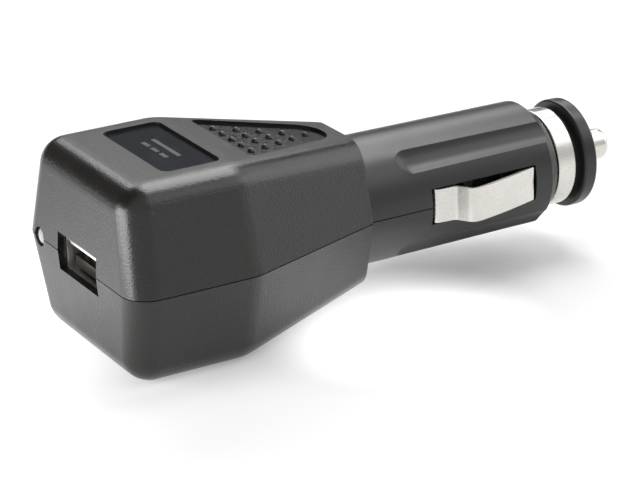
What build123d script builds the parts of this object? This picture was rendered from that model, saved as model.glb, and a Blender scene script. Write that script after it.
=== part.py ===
from build123d import *
import math
import os

# Car charger plug with one USB outlet: a drafted two-part head, a fluted barrel and a sprung tip
# Millimetres; origin on the barrel axis at the shoulder, +X towards the tip, +Z up, seam on Z = 0

# Head
head_length = 45.8
taper_length = 25.1
head_width = 39.6
head_rise = 15.85
head_drop = 15.4
shoulder_width = 21.8
shoulder_rise = 12.3
shoulder_drop = 12.1
side_draft = 14.0
front_draft = 4.2
edge_radius = 4.5
crease_radius = 7.0
brow_radius = 15.0
head_wall = 1.8
seam_gap = 0.16
seam_depth = 0.5

# Label recess and its plate on the flat of the head
label_length = 9.9
label_width = 21.6
label_corner = 1.5
label_margin = 0.7
label_depth = 0.9
plate_thickness = 0.4
plate_gap = 0.1

# Grip recess with pips on the sloping top
grip_margin = 4.5
grip_width = 20.8
grip_angle = 21.3
grip_apex = 4.7
grip_corner = 1.0
grip_depth = 0.6
pip_radius = 0.6
pip_rows = 5
pip_margin = 2.2
pip_pitch_along = 3.27
pip_pitch_across = 3.14

# Barrel
barrel_radius = 10.4
barrel_root = 6.0
barrel_length = 36.4
barrel_narrowing = 0.2
end_cone_length = 2.2
end_radius = 8.4
barrel_wall = 1.9
neck_radius = 7.0
neck_length = 3.7
flute_radius = 4.0
flute_depth = 0.9
flute_start = 6.5
flute_angle = 46.0
slot_start = 11.3
slot_end = 31.1
slot_width = 6.0

# Clamp ring, nose and tip
ring_length = 3.4
ring_radius = 8.1
ring_gap = 0.55
ring_edge = 0.25
fit_gap = 0.05
nose_neck_length = 1.15
nose_neck_radius = 7.3
flange_radius = 9.0
flange_length = 2.45
flange_edge = 0.45
stem_length = 5.8
stem_radius = 5.0
stem_hollow = 3.7
tip_radius = 2.55
tip_reach = 7.2
tip_edge = 1.2
tip_collar_radius = 3.4
tip_collar_length = 1.5
tip_stop = 2.9
running_gap = 0.25

# Fuse, spring and cup behind the tip
fuse_length = 20.0
fuse_radius = 2.6
fuse_cap_length = 4.5
fuse_cap_wall = 0.4
fuse_glass_gap = 0.03
fuse_glass_wall = 0.45
fuse_wire_radius = 0.15
spring_length = 9.7
spring_radius = 2.0
spring_wire = 0.3
spring_turns = 5
cup_radius = 3.2
cup_floor = 0.8
cup_rim = 1.6
cup_wall = 0.5
cup_tail_length = 2.2
cup_tail_radius = 0.9
bulkhead_length = 1.0
bulkhead_width = 11.2
saddle_width = 7.6
saddle_length = 1.6
saddle_count = 2
saddle_first = 2.5
saddle_pitch = 7.0

# Sprung side contacts, their bends as X and depth below the barrel's radius
strip_width = 5.6
strip_thickness = 0.5
strip_tail = (1.0, 2.9)
strip_rear_foot = (11.6, 2.9)
strip_rear_seat = (12.15, 0.55)
strip_ramp_foot = (15.6, 0.25)
strip_ramp_top = (17.4, -2.55)
strip_back = (23.0, -1.6)
strip_end = (30.6, 0.69)
strip_bends = (0.7, 0.7, 1.2, 1.5, 60.0)
strip_corner = 0.3
clamp_length = 1.4
clamp_width = 1.0
clamp_gap = 0.3

# USB outlet and lamp
port_width = 13.6
port_height = 6.2
can_width = 13.26
can_height = 5.72
can_length = 14.0
can_wall = 0.3
can_corner = 0.6
can_setback = 1.45
can_drop = 0.82
can_gap = 0.15
hem_depth = 0.9
hem_thickness = 0.28
hem_corner_gap = 1.4
tongue_width = 11.1
tongue_thickness = 1.8
tongue_lift = 0.7
tongue_setback = 1.0
tongue_base = 2.6
contact_width = 1.0
contact_thickness = 0.25
contact_pitch = 2.4
contact_count = 4
lamp_inset = 6.2
lamp_radius = 1.35
lamp_hole_gap = 0.25
lamp_setback = 0.4
lamp_dome = 1.25
lamp_flange_radius = 1.8
lamp_flange_length = 0.9
lamp_leg = 0.5
lamp_leg_pitch = 2.54
lamp_leg_reach = 1.6

# Circuit board and what it carries, placed by X and Y
board_thickness = 1.6
board_inset = 4.3
board_tail_width = 14.0
board_front_gap = 1.0
board_rear = 6.0
post_radius = 1.6
front_post = (-33.0, 12.4)
rear_post = (-11.5, 6.3)
choke_radius = 5.0
choke_height = 8.0
choke_waist = 3.8
choke_flange = 1.4
choke_place = (-24.6, -6.0)
large_can_radius = 4.0
large_can_height = 11.0
large_can_place = (-16.5, 3.2)
small_can_radius = 3.15
small_can_height = 9.0
small_can_place = (-25.5, 6.5)
can_edge = 0.5
chip_length = 5.0
chip_width = 4.0
chip_height = 1.5
chip_place = (-16.8, -5.5)
chip_leg_count = 4
chip_leg_pitch = 1.27
chip_leg_width = 0.4
chip_leg_reach = 1.0
chip_leg_height = 0.7
diode_length = 4.4
diode_width = 2.6
diode_height = 2.1
diode_place = (-38.5, -10.6)
small_part_length = 2.0
small_part_width = 1.25
small_part_height = 0.7
small_part_places = ((-38.5, 10.0), (-35.6, 9.0), (-29.0, 12.2), (-12.0, -1.6), (-34.8, -9.2))
lead_radius = 0.6
lead_bend = 1.5
lead_gap = 0.3
lead_landing = -7.6
lead_spread = 6.0

# Places worked out from the sizes above
front_x = -head_length
crease_x = -taper_length
lamp_offset = head_width / 2 - lamp_inset
board_width = head_width - 2 * board_inset
run_on = shoulder_width / 4
narrowing = (head_width - shoulder_width) / 2 / taper_length
cone_start = barrel_length - end_cone_length
barrel_small_radius = barrel_radius - barrel_narrowing
tail_out = barrel_radius - strip_tail[1]
bore_radius = barrel_radius - barrel_wall
bore_end = cone_start - barrel_wall / 2
ring_start = barrel_length + ring_gap
nose_start = ring_start + ring_length + fit_gap
flange_start = nose_start + nose_neck_length
flange_end = flange_start + flange_length
stop_x = flange_end - tip_stop
fuse_front = stop_x - fit_gap - tip_collar_length
fuse_rear = fuse_front - fuse_length
cup_face = fuse_rear - spring_length
cup_back = cup_face - cup_floor
port_front = front_x + can_setback
front_lean = math.tan(math.radians(front_draft))
lamp_rear = front_x + head_wall + lamp_flange_radius * front_lean + running_gap + lamp_flange_length
board_top = -can_drop - can_height / 2
board_under = board_top - board_thickness
label_x = crease_x - label_margin - label_length / 2
slope_angle = math.atan2(head_rise - shoulder_rise, taper_length)
slope_plane = Plane(
    origin=(crease_x, 0, head_rise),
    x_dir=(math.cos(slope_angle), 0, -math.sin(slope_angle)),
    z_dir=(math.sin(slope_angle), 0, math.cos(slope_angle)),
)


def head_plan(front, inset):
    # Outline of the head at the seam from its front, run on past the shoulder and drawn in by inset
    with BuildSketch() as plan:
        with BuildLine():
            Polyline(
                (front, -head_width / 2),
                (crease_x, -head_width / 2),
                (run_on, -shoulder_width / 2 + narrowing * run_on),
                (run_on, shoulder_width / 2 - narrowing * run_on),
                (crease_x, head_width / 2),
                (front, head_width / 2),
                close=True,
            )
        make_face()
        if inset:
            offset(amount=-inset, kind=Kind.INTERSECTION, mode=Mode.REPLACE)
    return plan.sketch


def head_form(rise, end_rise, inset):
    # One half of the head above the seam, drawn in by inset from every wall
    fall = (rise - end_rise) / taper_length
    foot = front_x + inset / math.cos(math.radians(front_draft))
    with BuildPart() as form:
        with BuildSketch():
            add(head_plan(front_x - run_on, inset))
        extrude(amount=rise + head_wall, taper=side_draft)
        uprights = form.edges().filter_by(lambda e: abs(e.start_point().Z - e.end_point().Z) > end_rise)
        creases = uprights.filter_by(lambda e: abs(e.center().X - crease_x) < edge_radius)
        fillet(creases, radius=crease_radius)
        with BuildSketch(Plane.XZ):
            with BuildLine():
                Polyline(
                    (front_x - 2 * run_on, 2 * rise),
                    (front_x - 2 * run_on, -run_on),
                    (foot - run_on * front_lean, -run_on),
                    (foot + (rise - inset) * front_lean, rise - inset),
                    (crease_x, rise - inset),
                    (-inset, end_rise - inset + fall * inset),
                    (-inset, -run_on),
                    (2 * run_on, -run_on),
                    (2 * run_on, 2 * rise),
                    close=True,
                )
            make_face()
            fillet(vertices().filter_by(lambda v: abs(v.X - crease_x) < head_wall), radius=brow_radius)
        extrude(amount=head_width, both=True, mode=Mode.SUBTRACT)
        high = form.edges().filter_by(lambda e: min(e.start_point().Z, e.end_point().Z) > end_rise / 2)
        ahead = crease_x - edge_radius
        rim = high.filter_by(lambda e: abs(e.tangent_at(0.5).Y) < 0.99 or e.center().X < ahead)
        uprights = form.edges().filter_by(lambda e: abs(e.start_point().Z - e.end_point().Z) > end_rise / 2)
        corners = uprights.filter_by(lambda e: e.center().X < ahead)
        fillet(rim + corners, radius=edge_radius - inset)
    return form.part


def seam_plan():
    # Outline of head and barrel at the bottom of the seam groove, which ends at the slots
    with BuildSketch() as plan:
        add(head_plan(front_x, seam_depth))
        fillet(vertices().group_by(Axis.X)[0], radius=edge_radius - seam_depth)
        creases = vertices().filter_by(lambda v: abs(v.X - crease_x) < head_wall)
        fillet(creases, radius=crease_radius - seam_depth)
        with Locations((-seam_depth, 0)):
            Rectangle(head_length, head_width, align=(Align.MIN, Align.CENTER), mode=Mode.SUBTRACT)
        with BuildLine():
            side = [
                (-head_wall, barrel_radius - seam_depth),
                (barrel_root, barrel_radius - seam_depth),
                (cone_start, barrel_small_radius - seam_depth),
            ]
            Polyline(*side, *[(x, -y) for x, y in reversed(side)], close=True)
        make_face()
    return plan.sketch


def turned_half(outline):
    # The part above the seam of a form turned about the barrel axis, from X and radius
    with BuildPart() as form:
        with BuildSketch(Plane.XZ):
            with BuildLine():
                Polyline(*outline, close=True)
            make_face()
        revolve(axis=Axis.X)
        split(bisect_by=Plane.XY, keep=Keep.TOP)
    return form.part


def moulded_half(rise, end_rise):
    # One moulding above the seam: head and barrel in one piece, hollow, with its cut-outs
    outer_barrel = turned_half(
        (
            (-head_wall, 0),
            (-head_wall, barrel_radius),
            (barrel_root, barrel_radius),
            (cone_start, barrel_small_radius),
            (barrel_length, end_radius),
            (barrel_length, neck_radius),
            (barrel_length + neck_length, neck_radius),
            (barrel_length + neck_length, 0),
        )
    )
    inner_barrel = turned_half(
        (
            (-2 * head_wall, 0),
            (-2 * head_wall, bore_radius),
            (bore_end - barrel_wall, bore_radius),
            (bore_end, bore_radius - barrel_wall),
            (bore_end, stem_radius + fit_gap),
            (nose_start, stem_radius + fit_gap),
            (nose_start, 0),
        )
    )
    flute_centre = barrel_radius - flute_depth + flute_radius
    flute_lead = math.sqrt(flute_radius**2 - (flute_radius - flute_depth) ** 2)
    flute_y = flute_centre * math.cos(math.radians(flute_angle))
    flute_z = flute_centre * math.sin(math.radians(flute_angle))
    slot_middle = (slot_start + slot_end) / 2
    clamp_face = tail_out - strip_thickness / 2 - clamp_gap
    clamp_rise = math.sqrt(bore_radius**2 - clamp_face**2) + barrel_wall / 2
    with BuildPart() as half:
        add(head_form(rise, end_rise, 0))
        add(outer_barrel)
        # Hairline groove along the seam
        with BuildSketch():
            with Locations((slot_middle, 0)):
                Rectangle(3 * head_length, 2 * head_width, align=(Align.MAX, Align.CENTER))
            add(seam_plan(), mode=Mode.SUBTRACT)
        extrude(amount=seam_gap / 2, mode=Mode.SUBTRACT)
        # Hollow of the head and of the barrel
        add(head_form(rise, end_rise, head_wall), mode=Mode.SUBTRACT)
        add(inner_barrel, mode=Mode.SUBTRACT)
        # Flutes with a rounded start
        with BuildSketch(Plane.YZ.offset(flute_start + flute_lead)):
            with Locations((flute_y, flute_z), (-flute_y, flute_z)):
                Circle(flute_radius)
        extrude(amount=barrel_length, mode=Mode.SUBTRACT)
        flute_heads = [(flute_start + flute_lead, side * flute_y, flute_z) for side in (-1, 1)]
        with Locations(*flute_heads):
            Sphere(flute_radius, mode=Mode.SUBTRACT)
        # Slots for the side contacts
        with BuildSketch(Plane.XZ):
            with Locations((slot_middle, 0)):
                Rectangle(slot_end - slot_start, slot_width)
        extrude(amount=barrel_radius + barrel_wall, both=True, mode=Mode.SUBTRACT)
        # Holes for the outlet and the lamp
        with BuildSketch(Plane.YZ.offset(front_x - head_wall)):
            Rectangle(port_width, port_height)
            with Locations((lamp_offset, 0)):
                Circle(lamp_radius + lamp_hole_gap)
        extrude(amount=3 * head_wall, mode=Mode.SUBTRACT)
        # Saddles that guide the fuse, and the bulkhead behind its spring
        for number in range(saddle_count):
            with BuildSketch(Plane.YZ.offset(fuse_rear + saddle_first + number * saddle_pitch)):
                Circle(bore_radius + barrel_wall / 2)
                Rectangle(saddle_width, 2 * barrel_radius, mode=Mode.INTERSECT)
                Circle(fuse_radius + running_gap, mode=Mode.SUBTRACT)
                with Locations((0, -barrel_radius)):
                    Rectangle(2 * barrel_radius, 2 * barrel_radius, mode=Mode.SUBTRACT)
            extrude(amount=saddle_length / 2, both=True)
        with BuildSketch(Plane.YZ.offset(cup_back - bulkhead_length)):
            Circle(bore_radius + barrel_wall / 2)
            Rectangle(bulkhead_width, 2 * barrel_radius, mode=Mode.INTERSECT)
            Circle(cup_tail_radius + fit_gap, mode=Mode.SUBTRACT)
            with Locations((0, -barrel_radius)):
                Rectangle(2 * barrel_radius, 2 * barrel_radius, mode=Mode.SUBTRACT)
        extrude(amount=bulkhead_length)
        # Clamps that hold the tails of the side contacts
        with BuildSketch(Plane.XY):
            clamp_y = clamp_face - clamp_width / 2
            with Locations((strip_tail[0], clamp_y), (strip_tail[0], -clamp_y)):
                Rectangle(clamp_length, clamp_width)
        extrude(amount=clamp_rise)
    return half.part


def post_rise(place, rise, end_rise):
    # Height above the seam at which a post ends inside the thickness of the head's wall
    slope = max(0, place[0] - crease_x) * (rise - end_rise) / taper_length
    return rise - slope - head_wall / 2


def both_sides(place):
    return ((place[0], place[1]), (place[0], -place[1]))


with BuildPart() as upper_shell:
    add(moulded_half(head_rise, shoulder_rise))
    with BuildSketch(Plane.XY.offset(head_rise)):
        with Locations((label_x, 0)):
            RectangleRounded(label_length, label_width, label_corner)
    extrude(amount=-label_depth, mode=Mode.SUBTRACT)
    # Triangular grip recess with a rounded point towards the barrel
    grip_point = grip_margin + grip_width / 2 / math.tan(math.radians(grip_angle))
    with BuildSketch(slope_plane):
        with BuildLine():
            Polyline(
                (grip_margin, -grip_width / 2),
                (grip_point, 0),
                (grip_margin, grip_width / 2),
                close=True,
            )
        make_face()
        fillet(vertices().sort_by(Axis.X)[-1], radius=grip_apex)
        fillet(vertices().group_by(Axis.X)[0], radius=grip_corner)
    extrude(amount=-grip_depth, mode=Mode.SUBTRACT)
    pip_places = []
    for row in range(pip_rows):
        for number in range(pip_rows - row):
            across = (number - (pip_rows - row - 1) / 2) * pip_pitch_across
            along = grip_margin + pip_margin + row * pip_pitch_along
            pip_places.append(slope_plane.from_local_coords((along, across, -grip_depth)))
    with Locations(*pip_places):
        Sphere(pip_radius)
    # Posts that hold the board down
    for place in (front_post, rear_post):
        with BuildSketch(Plane.XY.offset(board_top)):
            with Locations(*both_sides(place)):
                Circle(post_radius)
        extrude(amount=post_rise(place, head_rise, shoulder_rise) - board_top)
upper_shell.part.label = "upper_shell"

with BuildPart() as lower_shell:
    add(mirror(moulded_half(head_drop, shoulder_drop), about=Plane.XY))
    # Pocket for the can behind the outlet's lip
    with BuildSketch(Plane.YZ.offset(port_front)):
        with Locations((0, -can_drop)):
            Rectangle(can_width + 2 * can_gap, can_height + 2 * can_gap)
    extrude(amount=can_length, mode=Mode.SUBTRACT)
    # Posts that carry the board
    for place in (front_post, rear_post):
        with BuildSketch(Plane.XY.offset(board_under)):
            with Locations(*both_sides(place)):
                Circle(post_radius)
        extrude(amount=-post_rise(place, head_drop, shoulder_drop) - board_under)
lower_shell.part.label = "lower_shell"

with BuildPart() as label_plate:
    with BuildSketch(Plane.XY.offset(head_rise - label_depth)):
        with Locations((label_x, 0)):
            RectangleRounded(
                label_length - 2 * plate_gap, label_width - 2 * plate_gap, label_corner - plate_gap
            )
    extrude(amount=plate_thickness)
label_plate.part.label = "label_plate"

with BuildPart() as usb_shell:
    with BuildSketch(Plane.YZ.offset(port_front)):
        with Locations((0, -can_drop)):
            RectangleRounded(can_width, can_height, can_corner)
            RectangleRounded(
                can_width - 2 * can_wall,
                can_height - 2 * can_wall,
                can_corner - can_wall,
                mode=Mode.SUBTRACT,
            )
    extrude(amount=can_length)
    # Sheet folded back inside the mouth on all four sides, open at the corners
    hem_y = can_width / 2 - can_wall
    hem_z = can_height / 2 - can_wall
    with BuildSketch(Plane.YZ.offset(port_front)):
        with Locations((0, -can_drop)):
            Rectangle(2 * hem_y, 2 * (hem_z - hem_corner_gap))
            Rectangle(2 * (hem_y - hem_corner_gap), 2 * hem_z)
            Rectangle(2 * (hem_y - hem_thickness), 2 * (hem_z - hem_thickness), mode=Mode.SUBTRACT)
    extrude(amount=hem_depth)
usb_shell.part.label = "usb_shell"

tongue_under = board_top + can_wall + tongue_lift
tongue_top = tongue_under + tongue_thickness
tongue_front = port_front + tongue_setback
base_front = port_front + can_length - tongue_base
with BuildPart() as usb_tongue:
    with BuildSketch(Plane.YZ.offset(base_front)):
        with Locations((0, -can_drop)):
            RectangleRounded(
                can_width - 2 * can_wall - 2 * fit_gap,
                can_height - 2 * can_wall - 2 * fit_gap,
                can_corner - can_wall,
            )
    extrude(amount=tongue_base)
    with BuildSketch(Plane.YZ.offset(tongue_front)):
        with Locations((0, (tongue_under + tongue_top) / 2)):
            Rectangle(tongue_width, tongue_thickness)
    extrude(amount=base_front - tongue_front)
usb_tongue.part.label = "usb_tongue"

with BuildPart() as usb_contacts:
    with BuildSketch(Plane.YZ.offset(tongue_front + contact_width)):
        with Locations((0, tongue_top + contact_thickness / 2)):
            with GridLocations(contact_pitch, 0, contact_count, 1):
                Rectangle(contact_width, contact_thickness)
    extrude(amount=base_front - tongue_front - contact_width)
usb_contacts.part.label = "usb_contacts"

with BuildPart() as status_led:
    lamp_front = front_x + lamp_setback
    with BuildSketch(Plane.YZ.offset(lamp_front)):
        with Locations((lamp_offset, 0)):
            Circle(lamp_radius)
    extrude(amount=lamp_rear - lamp_front)
    fillet(status_led.edges().sort_by(Axis.X)[0], radius=lamp_dome)
    with BuildSketch(Plane.YZ.offset(lamp_rear - lamp_flange_length)):
        with Locations((lamp_offset, 0)):
            Circle(lamp_flange_radius)
    extrude(amount=lamp_flange_length)
    # Two legs bent down to the board
    with BuildSketch(Plane.XZ.offset(-lamp_offset)):
        with BuildLine():
            Polyline(
                (lamp_rear, lamp_leg / 2),
                (lamp_rear + lamp_leg_reach, lamp_leg / 2),
                (lamp_rear + lamp_leg_reach, board_top),
                (lamp_rear + lamp_leg_reach - lamp_leg, board_top),
                (lamp_rear + lamp_leg_reach - lamp_leg, -lamp_leg / 2),
                (lamp_rear, -lamp_leg / 2),
                close=True,
            )
        make_face()
    extrude(amount=(lamp_leg_pitch + lamp_leg) / 2, both=True)
    with Locations((lamp_rear + lamp_leg_reach, lamp_offset, 0)):
        Box(
            2 * lamp_leg_reach,
            lamp_leg_pitch - lamp_leg,
            4 * abs(board_top),
            mode=Mode.SUBTRACT,
        )
status_led.part.label = "status_led"


def side_contact(side):
    # Strip bent from its clamped tail out through the slot, over its crown and back in
    bends = (
        strip_tail,
        strip_rear_foot,
        strip_rear_seat,
        strip_ramp_foot,
        strip_ramp_top,
        strip_back,
        strip_end,
    )
    with BuildPart() as strip:
        with BuildSketch():
            with BuildLine():
                places = [(x, side * (barrel_radius - depth)) for x, depth in bends]
                FilletPolyline(*places, radius=strip_bends)
            trace(line_width=strip_thickness)
        extrude(amount=strip_width / 2, both=True)
        ends = strip.faces().sort_by(Axis.X)[-1].edges().filter_by(Axis.Z, reverse=True)
        fillet(ends.group_by(Axis.Z)[0] + ends.group_by(Axis.Z)[-1], radius=strip_corner)
    return strip.part


with BuildPart() as near_contact:
    add(side_contact(-1))
near_contact.part.label = "near_contact"

with BuildPart() as far_contact:
    add(side_contact(1))
far_contact.part.label = "far_contact"

with BuildPart() as clamp_ring:
    with BuildSketch(Plane.YZ.offset(ring_start)):
        Circle(ring_radius)
        Circle(neck_radius + fit_gap, mode=Mode.SUBTRACT)
    extrude(amount=ring_length)
    rims = clamp_ring.edges().filter_by(GeomType.CIRCLE)
    fillet(rims.filter_by(lambda e: e.radius > neck_radius + ring_edge), radius=ring_edge)
clamp_ring.part.label = "clamp_ring"

with BuildPart() as nose_cap:
    with BuildSketch(Plane.XZ):
        with BuildLine():
            Polyline(
                (nose_start - stem_length, stem_hollow),
                (nose_start - stem_length, stem_radius),
                (nose_start, stem_radius),
                (nose_start, nose_neck_radius),
                (flange_start, nose_neck_radius),
                (flange_start, flange_radius),
                (flange_end, flange_radius),
                (flange_end, tip_radius + running_gap),
                (stop_x, tip_radius + running_gap),
                (stop_x, stem_hollow),
                close=True,
            )
        make_face()
        fillet(vertices().group_by(Axis.Y)[-1], radius=flange_edge)
    revolve(axis=Axis.X)
nose_cap.part.label = "nose_cap"

with BuildPart() as centre_tip:
    with BuildSketch(Plane.XZ):
        with BuildLine():
            Polyline(
                (fuse_front, 0),
                (fuse_front, tip_collar_radius),
                (fuse_front + tip_collar_length, tip_collar_radius),
                (fuse_front + tip_collar_length, tip_radius),
                (flange_end + tip_reach, tip_radius),
                (flange_end + tip_reach, 0),
                close=True,
            )
        make_face()
        fillet(vertices().group_by(Axis.X)[-1].sort_by(Axis.Y)[-1], radius=tip_edge)
    revolve(axis=Axis.X)
centre_tip.part.label = "centre_tip"

glass_radius = fuse_radius - fuse_cap_wall - fuse_glass_gap
glass_rear = fuse_rear + fuse_cap_wall
glass_length = fuse_length - 2 * fuse_cap_wall
with BuildPart() as fuse_glass:
    with BuildSketch(Plane.YZ.offset(glass_rear)):
        Circle(glass_radius)
        Circle(glass_radius - fuse_glass_wall, mode=Mode.SUBTRACT)
    extrude(amount=glass_length)
fuse_glass.part.label = "fuse_glass"

with BuildPart() as fuse_caps:
    with BuildSketch(Plane.YZ.offset(fuse_rear)):
        Circle(fuse_radius)
    extrude(amount=fuse_cap_length)
    with BuildSketch(Plane.YZ.offset(fuse_front)):
        Circle(fuse_radius)
    extrude(amount=-fuse_cap_length)
    with BuildSketch(Plane.YZ.offset(glass_rear)):
        Circle(glass_radius + fuse_glass_gap)
    extrude(amount=glass_length, mode=Mode.SUBTRACT)
fuse_caps.part.label = "fuse_caps"

with BuildPart() as fuse_wire:
    with BuildSketch(Plane.YZ.offset(glass_rear)):
        Circle(fuse_wire_radius)
    extrude(amount=glass_length)
fuse_wire.part.label = "fuse_wire"

with BuildPart() as tip_spring:
    with BuildLine() as coil:
        Helix(
            pitch=(spring_length - 2 * spring_wire) / spring_turns,
            height=spring_length - 2 * spring_wire,
            radius=spring_radius,
            center=(cup_face + spring_wire, 0, 0),
            direction=(1, 0, 0),
        )
    with BuildSketch(Plane(origin=coil.line @ 0, z_dir=coil.line % 0)):
        Circle(spring_wire)
    sweep(path=coil.line, is_frenet=True)
tip_spring.part.label = "tip_spring"

with BuildPart() as spring_cup:
    with BuildSketch(Plane.XZ):
        with BuildLine():
            Polyline(
                (cup_back - cup_tail_length, 0),
                (cup_back - cup_tail_length, cup_tail_radius),
                (cup_back, cup_tail_radius),
                (cup_back, cup_radius),
                (cup_face + cup_rim, cup_radius),
                (cup_face + cup_rim, cup_radius - cup_wall),
                (cup_face, cup_radius - cup_wall),
                (cup_face, 0),
                close=True,
            )
        make_face()
    revolve(axis=Axis.X)
spring_cup.part.label = "spring_cup"

with BuildPart() as circuit_board:
    with BuildSketch(Plane.XY.offset(board_under)):
        board_front = front_x + head_wall + board_front_gap
        with BuildLine():
            Polyline(
                (board_front, -board_width / 2),
                (crease_x, -board_width / 2),
                (-board_rear, -board_tail_width / 2),
                (-board_rear, board_tail_width / 2),
                (crease_x, board_width / 2),
                (board_front, board_width / 2),
                close=True,
            )
        make_face()
    extrude(amount=board_thickness)
circuit_board.part.label = "circuit_board"

board_face = Plane.XY.offset(board_top)
with BuildPart() as converter_chip:
    with BuildSketch(board_face):
        with Locations(chip_place):
            with GridLocations(chip_leg_pitch, 0, chip_leg_count, 1):
                Rectangle(chip_leg_width, chip_width + 2 * chip_leg_reach)
    extrude(amount=chip_leg_height)
    with BuildSketch(board_face.offset(chip_leg_height / 2)):
        with Locations(chip_place):
            Rectangle(chip_length, chip_width)
    extrude(amount=chip_height)
converter_chip.part.label = "converter_chip"

with BuildPart() as choke:
    with BuildSketch(board_face):
        with Locations(choke_place):
            Circle(choke_waist)
    extrude(amount=choke_height)
    with BuildSketch(board_face, board_face.offset(choke_height - choke_flange)):
        with Locations(choke_place):
            Circle(choke_radius)
    extrude(amount=choke_flange)
choke.part.label = "choke"

with BuildPart() as input_capacitor:
    with BuildSketch(board_face):
        with Locations(large_can_place):
            Circle(large_can_radius)
    extrude(amount=large_can_height)
    fillet(input_capacitor.edges().filter_by(GeomType.CIRCLE).sort_by(Axis.Z)[-1], radius=can_edge)
input_capacitor.part.label = "input_capacitor"

with BuildPart() as output_capacitor:
    with BuildSketch(board_face):
        with Locations(small_can_place):
            Circle(small_can_radius)
    extrude(amount=small_can_height)
    fillet(output_capacitor.edges().filter_by(GeomType.CIRCLE).sort_by(Axis.Z)[-1], radius=can_edge)
output_capacitor.part.label = "output_capacitor"

with BuildPart() as diode:
    with BuildSketch(board_face):
        with Locations(diode_place):
            Rectangle(diode_length, diode_width)
    extrude(amount=diode_height)
diode.part.label = "diode"

with BuildPart() as chip_parts:
    with BuildSketch(board_face):
        with Locations(*small_part_places):
            Rectangle(small_part_length, small_part_width)
    extrude(amount=small_part_height)
chip_parts.part.label = "chip_parts"


def lead(start, landing):
    # Insulated wire that runs back above the board and bends down on to it
    with BuildPart() as wire:
        with BuildLine() as run:
            above = (landing[0], landing[1], 0)
            FilletPolyline(start, above, (landing[0], landing[1], board_top), radius=lead_bend)
        with BuildSketch(Plane(origin=run.line @ 0, z_dir=run.line % 0)):
            Circle(lead_radius)
        sweep(path=run.line)
    return wire.part


with BuildPart() as positive_lead:
    add(lead((cup_back - cup_tail_length, 0, 0), (lead_landing, 0)))
positive_lead.part.label = "positive_lead"

with BuildPart() as near_lead:
    add(lead((strip_tail[0] - lead_gap, -tail_out, 0), (lead_landing, -lead_spread)))
near_lead.part.label = "near_lead"

with BuildPart() as far_lead:
    add(lead((strip_tail[0] - lead_gap, tail_out, 0), (lead_landing, lead_spread)))
far_lead.part.label = "far_lead"

os.makedirs("parts", exist_ok=True)
export_step(upper_shell.part, "parts/upper_shell.step")
export_step(lower_shell.part, "parts/lower_shell.step")
export_step(label_plate.part, "parts/label_plate.step")
export_step(usb_shell.part, "parts/usb_shell.step")
export_step(usb_tongue.part, "parts/usb_tongue.step")
export_step(usb_contacts.part, "parts/usb_contacts.step")
export_step(status_led.part, "parts/status_led.step")
export_step(near_contact.part, "parts/near_contact.step")
export_step(far_contact.part, "parts/far_contact.step")
export_step(clamp_ring.part, "parts/clamp_ring.step")
export_step(nose_cap.part, "parts/nose_cap.step")
export_step(centre_tip.part, "parts/centre_tip.step")
export_step(fuse_glass.part, "parts/fuse_glass.step")
export_step(fuse_caps.part, "parts/fuse_caps.step")
export_step(fuse_wire.part, "parts/fuse_wire.step")
export_step(tip_spring.part, "parts/tip_spring.step")
export_step(spring_cup.part, "parts/spring_cup.step")
export_step(circuit_board.part, "parts/circuit_board.step")
export_step(converter_chip.part, "parts/converter_chip.step")
export_step(choke.part, "parts/choke.step")
export_step(input_capacitor.part, "parts/input_capacitor.step")
export_step(output_capacitor.part, "parts/output_capacitor.step")
export_step(diode.part, "parts/diode.step")
export_step(chip_parts.part, "parts/chip_parts.step")
export_step(positive_lead.part, "parts/positive_lead.step")
export_step(near_lead.part, "parts/near_lead.step")
export_step(far_lead.part, "parts/far_lead.step")
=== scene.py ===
import math

import bmesh
import bpy
from mathutils import Matrix, Vector


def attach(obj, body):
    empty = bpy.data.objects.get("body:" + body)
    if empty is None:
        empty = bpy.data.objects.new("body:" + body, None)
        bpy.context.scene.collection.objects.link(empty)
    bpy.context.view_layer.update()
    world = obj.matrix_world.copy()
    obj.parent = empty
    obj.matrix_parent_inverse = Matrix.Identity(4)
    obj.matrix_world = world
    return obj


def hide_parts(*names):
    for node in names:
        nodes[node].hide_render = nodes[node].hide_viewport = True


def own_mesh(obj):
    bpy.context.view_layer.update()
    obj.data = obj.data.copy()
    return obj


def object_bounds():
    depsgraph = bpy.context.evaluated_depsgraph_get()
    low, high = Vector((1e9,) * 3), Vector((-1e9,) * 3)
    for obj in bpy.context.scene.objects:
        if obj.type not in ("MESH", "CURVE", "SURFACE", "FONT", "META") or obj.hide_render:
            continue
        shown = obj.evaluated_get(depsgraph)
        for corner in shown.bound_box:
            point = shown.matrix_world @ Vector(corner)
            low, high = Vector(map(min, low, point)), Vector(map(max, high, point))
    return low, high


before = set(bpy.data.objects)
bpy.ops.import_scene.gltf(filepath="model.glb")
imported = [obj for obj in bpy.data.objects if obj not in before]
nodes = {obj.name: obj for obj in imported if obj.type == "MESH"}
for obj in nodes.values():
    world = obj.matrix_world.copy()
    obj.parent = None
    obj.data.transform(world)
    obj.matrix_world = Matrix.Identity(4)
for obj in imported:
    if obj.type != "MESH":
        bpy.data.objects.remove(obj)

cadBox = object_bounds()
scene = bpy.context.scene
scene.view_settings.view_transform = "Standard"
print("frame loaded,", len(nodes), "CAD nodes")


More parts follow.
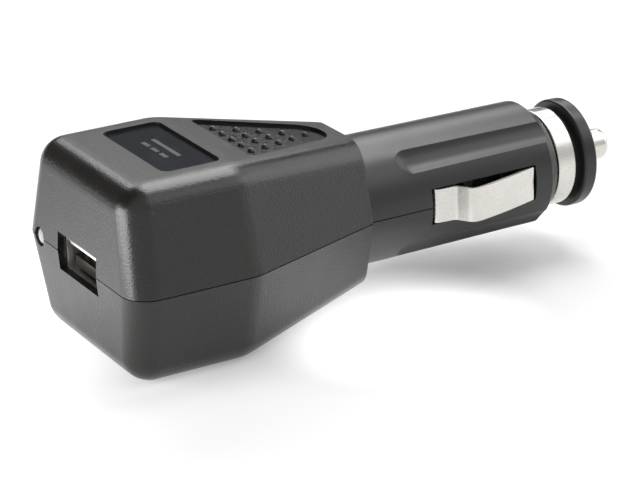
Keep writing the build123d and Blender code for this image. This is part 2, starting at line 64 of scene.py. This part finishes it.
class Wire:
    # an output socket of one material; maths on it adds Math nodes
    def __init__(self, tree, socket=None):
        self.tree = tree
        self.socket = socket

    def node(self, kind, settings=None, sockets=None, out=0):
        made = self.tree.nodes.new(kind)
        for name, value in (settings or {}).items():
            setattr(made, name, value)
        for key, value in (sockets or {}).items():
            if isinstance(value, Wire):
                self.tree.links.new(value.socket, made.inputs[key])
            else:
                made.inputs[key].default_value = value
        return Wire(self.tree, made.outputs[out] if len(made.outputs) else None)

    def math(self, operation, first, second):
        return self.node("ShaderNodeMath", {"operation": operation}, {0: first, 1: second})

    def axis(self, name):
        return self.node("ShaderNodeSeparateXYZ", {}, {0: self}, out=name)

    def __abs__(self):
        return self.math("ABSOLUTE", self, 0)

    def __add__(self, other):
        return self.math("ADD", self, other)

    def __radd__(self, other):
        return self.math("ADD", other, self)

    def __sub__(self, other):
        return self.math("SUBTRACT", self, other)

    def __rsub__(self, other):
        return self.math("SUBTRACT", other, self)

    def __mul__(self, other):
        return self.math("MULTIPLY", self, other)

    def __rmul__(self, other):
        return self.math("MULTIPLY", other, self)


def newFinish(name):
    material = bpy.data.materials.new(name)
    material.use_nodes = True
    material.node_tree.nodes.clear()
    place = Wire(material.node_tree).node("ShaderNodeTexCoord", out="Object")
    return material, place


def noise(place, scale, detail, stretch=None):
    vector = place
    if stretch:
        vector = place.node("ShaderNodeMapping", {}, {"Vector": place, "Scale": stretch})
    return place.node("ShaderNodeTexNoise", {}, {"Vector": vector, "Scale": scale, "Detail": detail})


def drift(pattern, amount):
    # a noise pattern swung about its middle
    return (pattern - 0.5) * amount


def blendColour(factor, first, second):
    return factor.node("ShaderNodeMix", {"data_type": "RGBA"}, {0: factor, 6: first, 7: second}, out=2)


def ease(value, start, end):
    settings = {"interpolation_type": "SMOOTHSTEP"}
    return value.node("ShaderNodeMapRange", settings, {"Value": value, "From Min": start, "From Max": end})


def relief(height, strength, depth):
    sockets = {"Strength": strength, "Distance": depth, "Height": height}
    return height.node("ShaderNodeBump", {}, sockets)


def closeFinish(place, sockets):
    shader = place.node("ShaderNodeBsdfPrincipled", {}, sockets)
    place.node("ShaderNodeOutputMaterial", {}, {"Surface": shader})


def dress(nodeName, material):
    piece = nodes[nodeName]
    if not piece.material_slots:
        piece.data.materials.append(material)
    for slot in piece.material_slots:
        slot.material = material


def addPiece(name, mesh, material):
    data = bpy.data.meshes.new(name)
    mesh.to_mesh(data)
    mesh.free()
    data.materials.append(material)
    piece = bpy.data.objects.new(name, data)
    scene.collection.objects.link(piece)
    return piece


def outward(azimuth, elevation):
    # direction seen from the plug, with the azimuth counted from the near side towards the tip
    return Vector((
        math.sin(azimuth) * math.cos(elevation),
        -math.cos(azimuth) * math.cos(elevation),
        math.sin(elevation),
    ))


# camera, fitted to the photograph
cameraSet = {
    "place": (-0.19636, -0.34307, 0.15003),
    "azimuth": -29.341,
    "elevation": 21.563,
    "roll": -1.743,
    "lens": 149.72,
    "sensor": 36,
    "clipStart": 0.01,
}


def makeCamera(s):
    azimuth, elevation, roll = (math.radians(s[key]) for key in ("azimuth", "elevation", "roll"))
    level = Vector((math.cos(azimuth), math.sin(azimuth), 0))
    back = outward(azimuth, elevation)
    upright = back.cross(level)
    right = level * math.cos(roll) + upright * math.sin(roll)
    up = upright * math.cos(roll) - level * math.sin(roll)
    data = bpy.data.cameras.new("photoCamera")
    data.sensor_width = s["sensor"]
    data.sensor_fit = "HORIZONTAL"
    data.lens = s["lens"]
    data.clip_start = s["clipStart"]
    camera = bpy.data.objects.new("photoCamera", data)
    camera.matrix_world = Matrix.Translation(s["place"]) @ Matrix((right, up, back)).transposed().to_4x4()
    scene.collection.objects.link(camera)
    scene.camera = camera


makeCamera(cameraSet)
print("camera placed")

# moulded housing: spark grain on the head, smoother satin on the barrel
housingSet = {
    "headDark": (0.0045, 0.0040, 0.0034, 1),
    "headLight": (0.0130, 0.0120, 0.0108, 1),
    "barrelColour": (0.009, 0.009, 0.009, 1),
    "headRough": 0.36,
    "wornRough": 0.26,
    "gripRough": 0.20,
    "barrelRough": 0.36,
    "specular": 0.6,
    "shoulder": (-0.0004, 0.0004),
    "grainScale": 3300,
    "grainDetail": 2.5,
    "grainDepth": 0.00010,
    "barrelTooth": 0.12,
    "headTooth": 0.88,  # on top of the barrel's
    "wornTooth": 0.6,  # taken off the head's
    "cloudScale": 180,
    "cloudDetail": 3.0,
    "cloudRough": 0.10,
}
# directions of the head's flats, the same on both sides of the seam and of the middle
wornSet = {
    "flats": (
        (0, 0, 1),
        (0.135, 0, 0.991),
        (-0.997, 0, 0.073),
        (0, 0.970, 0.242),
        (0.324, 0.915, 0.242),
    ),
    "match": (0.998, 0.965),
}
# sunk floor of the finger grip, by its depth below the slope of the top
gripSet = {
    "slopeFoot": 0.0123,
    "slopeFall": 0.1414,
    "sunkFrom": (0.00008, 0.0002),
    "sunkTo": (0.0012, 0.0009),
    "side": (0.0125, 0.0115),
    "start": (-0.0245, -0.0240),
}


def wornEdges(place, s):
    # 1 on edges, corners and pips, 0 on the flats
    facing = place.node("ShaderNodeTexCoord", out="Normal")
    along = facing.axis("X")
    aside = abs(facing.axis("Y"))
    upright = abs(facing.axis("Z"))
    nearest = None
    for x, y, z in s["flats"]:
        match = along * x + aside * y + upright * z
        nearest = place.math("MAXIMUM", nearest, match) if nearest else match
    return ease(nearest, *s["match"])


def gripPocket(place, s):
    # 1 on the floor of the grip, which is moulded smoother than the slope round it
    along = place.axis("X")
    sunk = s["slopeFoot"] - along * s["slopeFall"] - place.axis("Z")
    below = ease(sunk, *s["sunkFrom"]) * ease(sunk, *s["sunkTo"])
    return below * ease(abs(place.axis("Y")), *s["side"]) * ease(along, *s["start"])


def housingPlastic(s):
    material, place = newFinish("housingPlastic")
    onHead = 1 - ease(place.axis("X"), *s["shoulder"])
    grain = noise(place, s["grainScale"], s["grainDetail"])
    cloud = noise(place, s["cloudScale"], s["cloudDetail"])
    headColour = blendColour(grain, s["headDark"], s["headLight"])
    colour = blendColour(onHead, s["barrelColour"], headColour)
    worn = wornEdges(place, wornSet)
    gripFloor = gripPocket(place, gripSet) * (1 - worn)
    edgeRough = s["headRough"] - worn * (s["headRough"] - s["wornRough"])
    headRough = edgeRough + gripFloor * (s["gripRough"] - s["headRough"])
    rough = s["barrelRough"] + onHead * (headRough - s["barrelRough"]) + drift(cloud, s["cloudRough"])
    tooth = grain * (s["barrelTooth"] + onHead * (s["headTooth"] - worn * s["wornTooth"]))
    closeFinish(place, {
        "Base Color": colour,
        "Roughness": rough,
        "Normal": relief(tooth, 1.0, s["grainDepth"]),
        "Specular IOR Level": s["specular"],
    })
    return material


housing = housingPlastic(housingSet)
dress("upper_shell", housing)
dress("lower_shell", housing)
print("housing finished")

# smooth insert on top
labelSet = {
    "dark": (0.010, 0.012, 0.016, 1),
    "light": (0.016, 0.018, 0.023, 1),
    "rough": 0.12,
    "coat": 0.3,
    "cloudScale": 260,
    "cloudDetail": 3.0,
    "cloudRough": 0.08,
    "streakScale": 900,
    "streakDetail": 2.0,
    "streakStretch": (1.0, 0.12, 1.0),
    "streakRough": 0.06,
    "bump": 0.08,
    "depth": 0.00002,
}


def labelGloss(s):
    material, place = newFinish("labelGloss")
    cloud = noise(place, s["cloudScale"], s["cloudDetail"])
    streak = noise(place, s["streakScale"], s["streakDetail"], s["streakStretch"])
    closeFinish(place, {
        "Base Color": blendColour(cloud, s["dark"], s["light"]),
        "Roughness": s["rough"] + drift(cloud, s["cloudRough"]) + drift(streak, s["streakRough"]),
        "Normal": relief(cloud, s["bump"], s["depth"]),
        "Coat Weight": s["coat"],
    })
    return material


dress("label_plate", labelGloss(labelSet))
print("label finished")

# bright plated pieces
nickelSet = {
    "warm": (0.60, 0.58, 0.54, 1),
    "bright": (0.70, 0.685, 0.655, 1),
    "rough": 0.27,
    "drawScale": 1600,
}
steelSet = {
    "warm": (0.72, 0.71, 0.68, 1),
    "bright": (0.84, 0.83, 0.81, 1),
    "rough": 0.38,
    "drawScale": 1300,
}
goldSet = {
    "warm": (0.74, 0.52, 0.22, 1),
    "bright": (0.86, 0.66, 0.34, 1),
    "rough": 0.22,
    "drawScale": 1500,
}
brassSet = {
    "warm": (0.62, 0.44, 0.18, 1),
    "bright": (0.76, 0.58, 0.28, 1),
    "rough": 0.28,
    "drawScale": 1200,
}
springSet = {
    "warm": (0.42, 0.41, 0.40, 1),
    "bright": (0.58, 0.57, 0.56, 1),
    "rough": 0.30,
    "drawScale": 1800,
}
canSet = {
    "warm": (0.55, 0.55, 0.57, 1),
    "bright": (0.68, 0.68, 0.70, 1),
    "rough": 0.32,
    "drawScale": 1100,
}
# what all the metals share: fine draw lines along the plug and a faint cloud
drawnSet = {
    "drawDetail": 3.0,
    "drawStretch": (0.06, 1.0, 1.0),
    "drawRough": 0.12,
    "cloudScale": 240,
    "cloudDetail": 2.0,
    "cloudRough": 0.10,
    "bump": 0.05,
    "depth": 0.00001,
}


def drawnMetal(name, metal):
    s = {**drawnSet, **metal}
    material, place = newFinish(name)
    draw = noise(place, s["drawScale"], s["drawDetail"], s["drawStretch"])
    cloud = noise(place, s["cloudScale"], s["cloudDetail"])
    closeFinish(place, {
        "Base Color": blendColour(cloud, s["warm"], s["bright"]),
        "Roughness": s["rough"] + drift(draw, s["drawRough"]) + drift(cloud, s["cloudRough"]),
        "Metallic": 1.0,
        "Normal": relief(draw, s["bump"], s["depth"]),
    })
    return material


nickel = drawnMetal("brightNickel", nickelSet)
for nodeName in ("near_contact", "far_contact", "clamp_ring", "centre_tip", "fuse_caps"):
    dress(nodeName, nickel)
dress("usb_shell", drawnMetal("outletSteel", steelSet))
dress("usb_contacts", drawnMetal("outletGold", goldSet))
dress("spring_cup", drawnMetal("cupBrass", brassSet))
spring = drawnMetal("springSteel", springSet)
dress("fuse_wire", spring)
capacitorCan = drawnMetal("capacitorCan", canSet)
dress("input_capacitor", capacitorCan)
dress("output_capacitor", capacitorCan)
print("metals finished")

# spring behind the fuse: its own smoothed copy, carried with the plug
tipSpringSet = {"fixedEnd": 0.00985, "keep": 0.685, "merge": 0.0000001}


def makeTipSpring(s):
    mesh = bmesh.new()
    mesh.from_mesh(nodes["tip_spring"].data)
    bmesh.ops.remove_doubles(mesh, verts=mesh.verts, dist=s["merge"])
    for face in mesh.faces:
        face.smooth = True
    piece = addPiece("tipSpring", mesh, spring)
    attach(piece, "plug")
    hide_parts("tip_spring")
    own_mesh(piece)


makeTipSpring(tipSpringSet)
print("tip spring made")

# moulded, sintered and insulated pieces
noseSet = {
    "dark": (0.009, 0.009, 0.009, 1),
    "light": (0.018, 0.018, 0.018, 1),
    "rough": 0.32,
    "tooth": 2600,
    "depth": 0.00001,
}
tongueSet = {
    "dark": (0.006, 0.005, 0.003, 1),
    "light": (0.018, 0.015, 0.009, 1),
    "rough": 0.36,
    "tooth": 3000,
    "depth": 0.00002,
}
boardSet = {
    "dark": (0.03, 0.12, 0.05, 1),
    "light": (0.06, 0.20, 0.09, 1),
    "rough": 0.38,
    "tooth": 2200,
    "depth": 0.00001,
}
chipSet = {
    "dark": (0.018, 0.018, 0.018, 1),
    "light": (0.040, 0.040, 0.040, 1),
    "rough": 0.58,
    "tooth": 4000,
    "depth": 0.00002,
}
ferriteSet = {
    "dark": (0.05, 0.05, 0.055, 1),
    "light": (0.10, 0.10, 0.105, 1),
    "rough": 0.66,
    "tooth": 3600,
    "depth": 0.00004,
}
tanSet = {
    "dark": (0.38, 0.28, 0.17, 1),
    "light": (0.54, 0.42, 0.28, 1),
    "rough": 0.52,
    "tooth": 3800,
    "depth": 0.00002,
}
redLeadSet = {
    "dark": (0.40, 0.02, 0.02, 1),
    "light": (0.54, 0.05, 0.04, 1),
    "rough": 0.46,
    "tooth": 2000,
    "depth": 0.00001,
}
blackLeadSet = {
    "dark": (0.014, 0.014, 0.014, 1),
    "light": (0.028, 0.028, 0.028, 1),
    "rough": 0.46,
    "tooth": 2000,
    "depth": 0.00001,
}
# what they share: a fine tooth and a faint cloud
mouldedSet = {
    "toothDetail": 3.0,
    "cloudScale": 300,
    "cloudDetail": 2.0,
    "cloudRough": 0.14,
    "bump": 0.5,
}


def mouldedFinish(name, moulding):
    s = {**mouldedSet, **moulding}
    material, place = newFinish(name)
    tooth = noise(place, s["tooth"], s["toothDetail"])
    cloud = noise(place, s["cloudScale"], s["cloudDetail"])
    closeFinish(place, {
        "Base Color": blendColour(cloud, s["dark"], s["light"]),
        "Roughness": s["rough"] + drift(cloud, s["cloudRough"]),
        "Normal": relief(tooth, s["bump"], s["depth"]),
    })
    return material


dress("nose_cap", mouldedFinish("nosePlastic", noseSet))
dress("usb_tongue", mouldedFinish("tonguePlastic", tongueSet))
dress("circuit_board", mouldedFinish("boardGreen", boardSet))
chip = mouldedFinish("chipBlack", chipSet)
dress("converter_chip", chip)
dress("diode", chip)
dress("choke", mouldedFinish("chokeFerrite", ferriteSet))
dress("chip_parts", mouldedFinish("chipTan", tanSet))
dress("positive_lead", mouldedFinish("leadRed", redLeadSet))
blackLead = mouldedFinish("leadBlack", blackLeadSet)
dress("near_lead", blackLead)
dress("far_lead", blackLead)
print("mouldings finished")

# clear pieces
lampSet = {"dark": (0.40, 0.41, 0.42, 1), "light": (0.62, 0.63, 0.64, 1), "rough": 0.12, "clear": 0.25}
glassSet = {"dark": (0.84, 0.90, 0.90, 1), "light": (0.94, 0.97, 0.97, 1), "rough": 0.04, "clear": 0.92}
clearSet = {"cloudScale": 500, "cloudDetail": 2.0, "cloudRough": 0.05, "ior": 1.5}


def clearFinish(name, clearPiece):
    s = {**clearSet, **clearPiece}
    material, place = newFinish(name)
    cloud = noise(place, s["cloudScale"], s["cloudDetail"])
    closeFinish(place, {
        "Base Color": blendColour(cloud, s["dark"], s["light"]),
        "Roughness": s["rough"] + cloud * s["cloudRough"],
        "Transmission Weight": s["clear"],
        "IOR": s["ior"],
    })
    return material


lampClear = clearFinish("lampClear", lampSet)
dress("status_led", lampClear)
dress("fuse_glass", clearFinish("fuseGlass", glassSet))
print("clear pieces finished")

# clear cap slipped over the lamp, its dome level with the front wall
# its curves are shares of the dome's depth and of the radius
capSet = {
    "across": 0.0136,
    "front": -0.0457,
    "rear": -0.0440,
    "radius": 0.00145,
    "inside": 0.00138,
    "dome": 0.0009,
    "wall": 0.00028,
    "innerCurve": ((0.0, 0.0), (0.25, 0.66), (1.0, 1.0)),
    "outerCurve": ((1.0, 1.0), (0.55, 0.93), (0.22, 0.68), (0.05, 0.34), (0.0, 0.0)),
    "steps": 48,
    "merge": 0.000002,
}


def makeLampCap(s):
    inner = s["front"] + s["wall"]
    profile = [(inner + s["dome"] * back, s["inside"] * out) for back, out in s["innerCurve"]]
    profile += [(s["rear"], s["inside"]), (s["rear"], s["radius"])]
    profile += [(s["front"] + s["dome"] * back, s["radius"] * out) for back, out in s["outerCurve"]]
    mesh = bmesh.new()
    corners = [mesh.verts.new((x, s["across"], radius)) for x, radius in profile]
    edges = [mesh.edges.new(pair) for pair in zip(corners, corners[1:])]
    turn = {"cent": (0, s["across"], 0), "axis": (1, 0, 0), "angle": 2 * math.pi, "steps": s["steps"]}
    bmesh.ops.spin(mesh, geom=corners + edges, use_merge=True, **turn)
    bmesh.ops.remove_doubles(mesh, verts=mesh.verts, dist=s["merge"])
    bmesh.ops.recalc_face_normals(mesh, faces=mesh.faces)
    for face in mesh.faces:
        face.smooth = True
    piece = addPiece("lampCap", mesh, lampClear)
    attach(piece, "plug")


makeLampCap(capSet)
print("lamp cap made")

# direct-current sign on the insert: a long bar over three short ones
signSet = {
    "centre": (-0.03075, 0.0, 0.01535),
    "length": 0.0090,
    "width": 0.0008,
    "height": 0.00012,
    "spread": 0.0019,
    "dashes": 3,
    "dashShare": 0.24,
    "bevelShare": 0.6,
    "bevelSteps": 3,
}
signSatinSet = {
    "dark": (0.020, 0.021, 0.024, 1),
    "light": (0.034, 0.035, 0.039, 1),
    "rough": 0.42,
    "tooth": 3000,
    "depth": 0.00001,
}


def bar(mesh, x, y, length, s):
    middle = s["centre"][2] + s["height"] / 2
    corners = bmesh.ops.create_cube(mesh, size=1.0)["verts"]
    bmesh.ops.scale(mesh, vec=(s["width"], length, s["height"]), verts=corners)
    bmesh.ops.translate(mesh, vec=(x, y, middle), verts=corners)
    top = [corner for corner in corners if corner.co.z > middle]
    topEdges = [edge for edge in mesh.edges if all(corner in top for corner in edge.verts)]
    rounding = {"offset": s["height"] * s["bevelShare"], "segments": s["bevelSteps"], "profile": 0.5}
    bmesh.ops.bevel(mesh, geom=topEdges, affect="EDGES", material=-1, **rounding)


def makeSign(s):
    mesh = bmesh.new()
    x, y, _ = s["centre"]
    bar(mesh, x + s["spread"] / 2, y, s["length"], s)
    pitch = s["length"] / s["dashes"]
    for index in range(s["dashes"]):
        offset = (index - (s["dashes"] - 1) / 2) * pitch
        bar(mesh, x - s["spread"] / 2, y + offset, s["length"] * s["dashShare"], s)
    piece = addPiece("currentSign", mesh, mouldedFinish("signSatin", signSatinSet))
    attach(piece, "plug")


makeSign(signSet)
print("sign made")

# pale floor that keeps the shadow and brightens to white away from the plug; two painted pools of light,
# beside the front and under the shoulder, lighten the shadow there and brighten the floor that the plastic
# mirrors
floorSet = {
    "colour": (0.77, 0.77, 0.77, 1),
    "rough": 0.85,
    "toothScale": 900,
    "toothDetail": 2.0,
    "toothRough": 0.1,
    "lift": 0.12,
    "farLift": 0.6,
    "far": (0.13, 0.45),
    "half": 3.0,
    "below": 0.00002,
    # painted light: glowing spots on the floor near the plug, seen straight and in reflections but
    # lighting nothing
    "paintedLightSpots": {
        "paintedLightByFront": {"centre": (-0.056, 0.020, -0.0154), "fade": (0.060, 0.010), "lift": 0.70},
        "paintedLightByShoulder": {"centre": (0.001, -0.016, -0.0154), "fade": (0.026, 0.004), "lift": 1.00},
    },
}


def seenRay(place):
    # 1 where the floor is seen, straight, mirrored or through glass, and 0 where it would light the plug
    straight = place.node("ShaderNodeLightPath", out="Is Camera Ray")
    mirrored = place.node("ShaderNodeLightPath", out="Is Glossy Ray")
    through = place.node("ShaderNodeLightPath", out="Is Transmission Ray")
    return place.math("MINIMUM", straight + mirrored + through, 1.0)


def floorPaper(s):
    material, place = newFinish("floorPaper")
    tooth = noise(place, s["toothScale"], s["toothDetail"])
    paper = place.node("ShaderNodeBsdfPrincipled", {}, {
        "Base Color": s["colour"],
        "Roughness": s["rough"] + drift(tooth, s["toothRough"]),
        "Specular IOR Level": 0.0,
    })
    away = place.node("ShaderNodeVectorMath", {"operation": "LENGTH"}, {0: place}, out="Value")
    glow = s["lift"] + ease(away, *s["far"]) * s["farLift"]
    # add the painted pools of light near the plug
    for paintedSpot in s["paintedLightSpots"].values():
        ends = {0: place, 1: paintedSpot["centre"]}
        away = place.node("ShaderNodeVectorMath", {"operation": "DISTANCE"}, ends, out="Value")
        glow = glow + ease(away, *paintedSpot["fade"]) * paintedSpot["lift"]
    lift = place.node("ShaderNodeEmission", {}, {"Color": seenRay(place) * glow, "Strength": 1.0})
    both = place.node("ShaderNodeAddShader", {}, {0: paper, 1: lift})
    place.node("ShaderNodeOutputMaterial", {}, {"Surface": both})
    return material


def makeFloor(s):
    mesh = bmesh.new()
    corners = bmesh.ops.create_grid(mesh, x_segments=1, y_segments=1, size=s["half"])["verts"]
    bmesh.ops.translate(mesh, vec=(0, 0, cadBox[0][2] - s["below"]), verts=corners)
    floor = addPiece("floor", mesh, floorPaper(s))


makeFloor(floorSet)

# soft panels round the plug, in degrees and metres, aimed at a point in its middle
panelAim = (-0.004, 0, 0)
lampPanels = {
    "backHigh": {"azimuth": 160, "elevation": 42, "distance": 0.5, "size": (0.42, 0.22), "radiance": 4.0},
    "overhead": {"azimuth": 116, "elevation": 66, "distance": 0.5, "size": (0.32, 0.22), "radiance": 6.6},
    "right": {"azimuth": 88, "elevation": 25, "distance": 0.5, "size": (0.42, 0.34), "radiance": 1.8},
    "frontHigh": {"azimuth": 48, "elevation": 46, "distance": 0.5, "size": (0.34, 0.26), "radiance": 1.2},
    "leftLow": {"azimuth": 264, "elevation": 5, "distance": 0.15, "size": (0.10, 0.05), "radiance": 7.5},
}
# room light, more of it from the near side, and a faint band at the horizon
worldSet = {
    "room": 0.10,
    "front": 0.56,
    "frontFade": (0.1, -0.5),
    "horizon": 0.08,
    "horizonFade": (0.04, 0.22),
}


def makePanel(name, s):
    place = outward(math.radians(s["azimuth"]), math.radians(s["elevation"])) * s["distance"]
    data = bpy.data.lights.new(name, "AREA")
    data.shape = "RECTANGLE"
    data.size, data.size_y = s["size"]
    data.energy = s["radiance"] * math.pi * s["size"][0] * s["size"][1]
    panel = bpy.data.objects.new(name, data)
    aim = Vector(panelAim) - place
    panel.matrix_world = Matrix.Translation(place) @ aim.to_track_quat("-Z", "Y").to_matrix().to_4x4()
    panel.visible_camera = False
    scene.collection.objects.link(panel)


def makeWorld(s):
    world = bpy.data.worlds.new("studio")
    scene.world = world
    world.use_nodes = True
    world.node_tree.nodes.clear()
    place = Wire(world.node_tree).node("ShaderNodeTexCoord", out="Generated")
    room = s["room"] + ease(place.axis("Y"), *s["frontFade"]) * s["front"]
    strength = room + (1 - ease(place.axis("Z"), *s["horizonFade"])) * s["horizon"]
    light = place.node("ShaderNodeBackground", {}, {"Color": (1, 1, 1, 1), "Strength": strength})
    place.node("ShaderNodeOutputWorld", {}, {"Surface": light})


for panelName, panelSet in lampPanels.items():
    makePanel(panelName, panelSet)
makeWorld(worldSet)
print("floor and lamps placed")
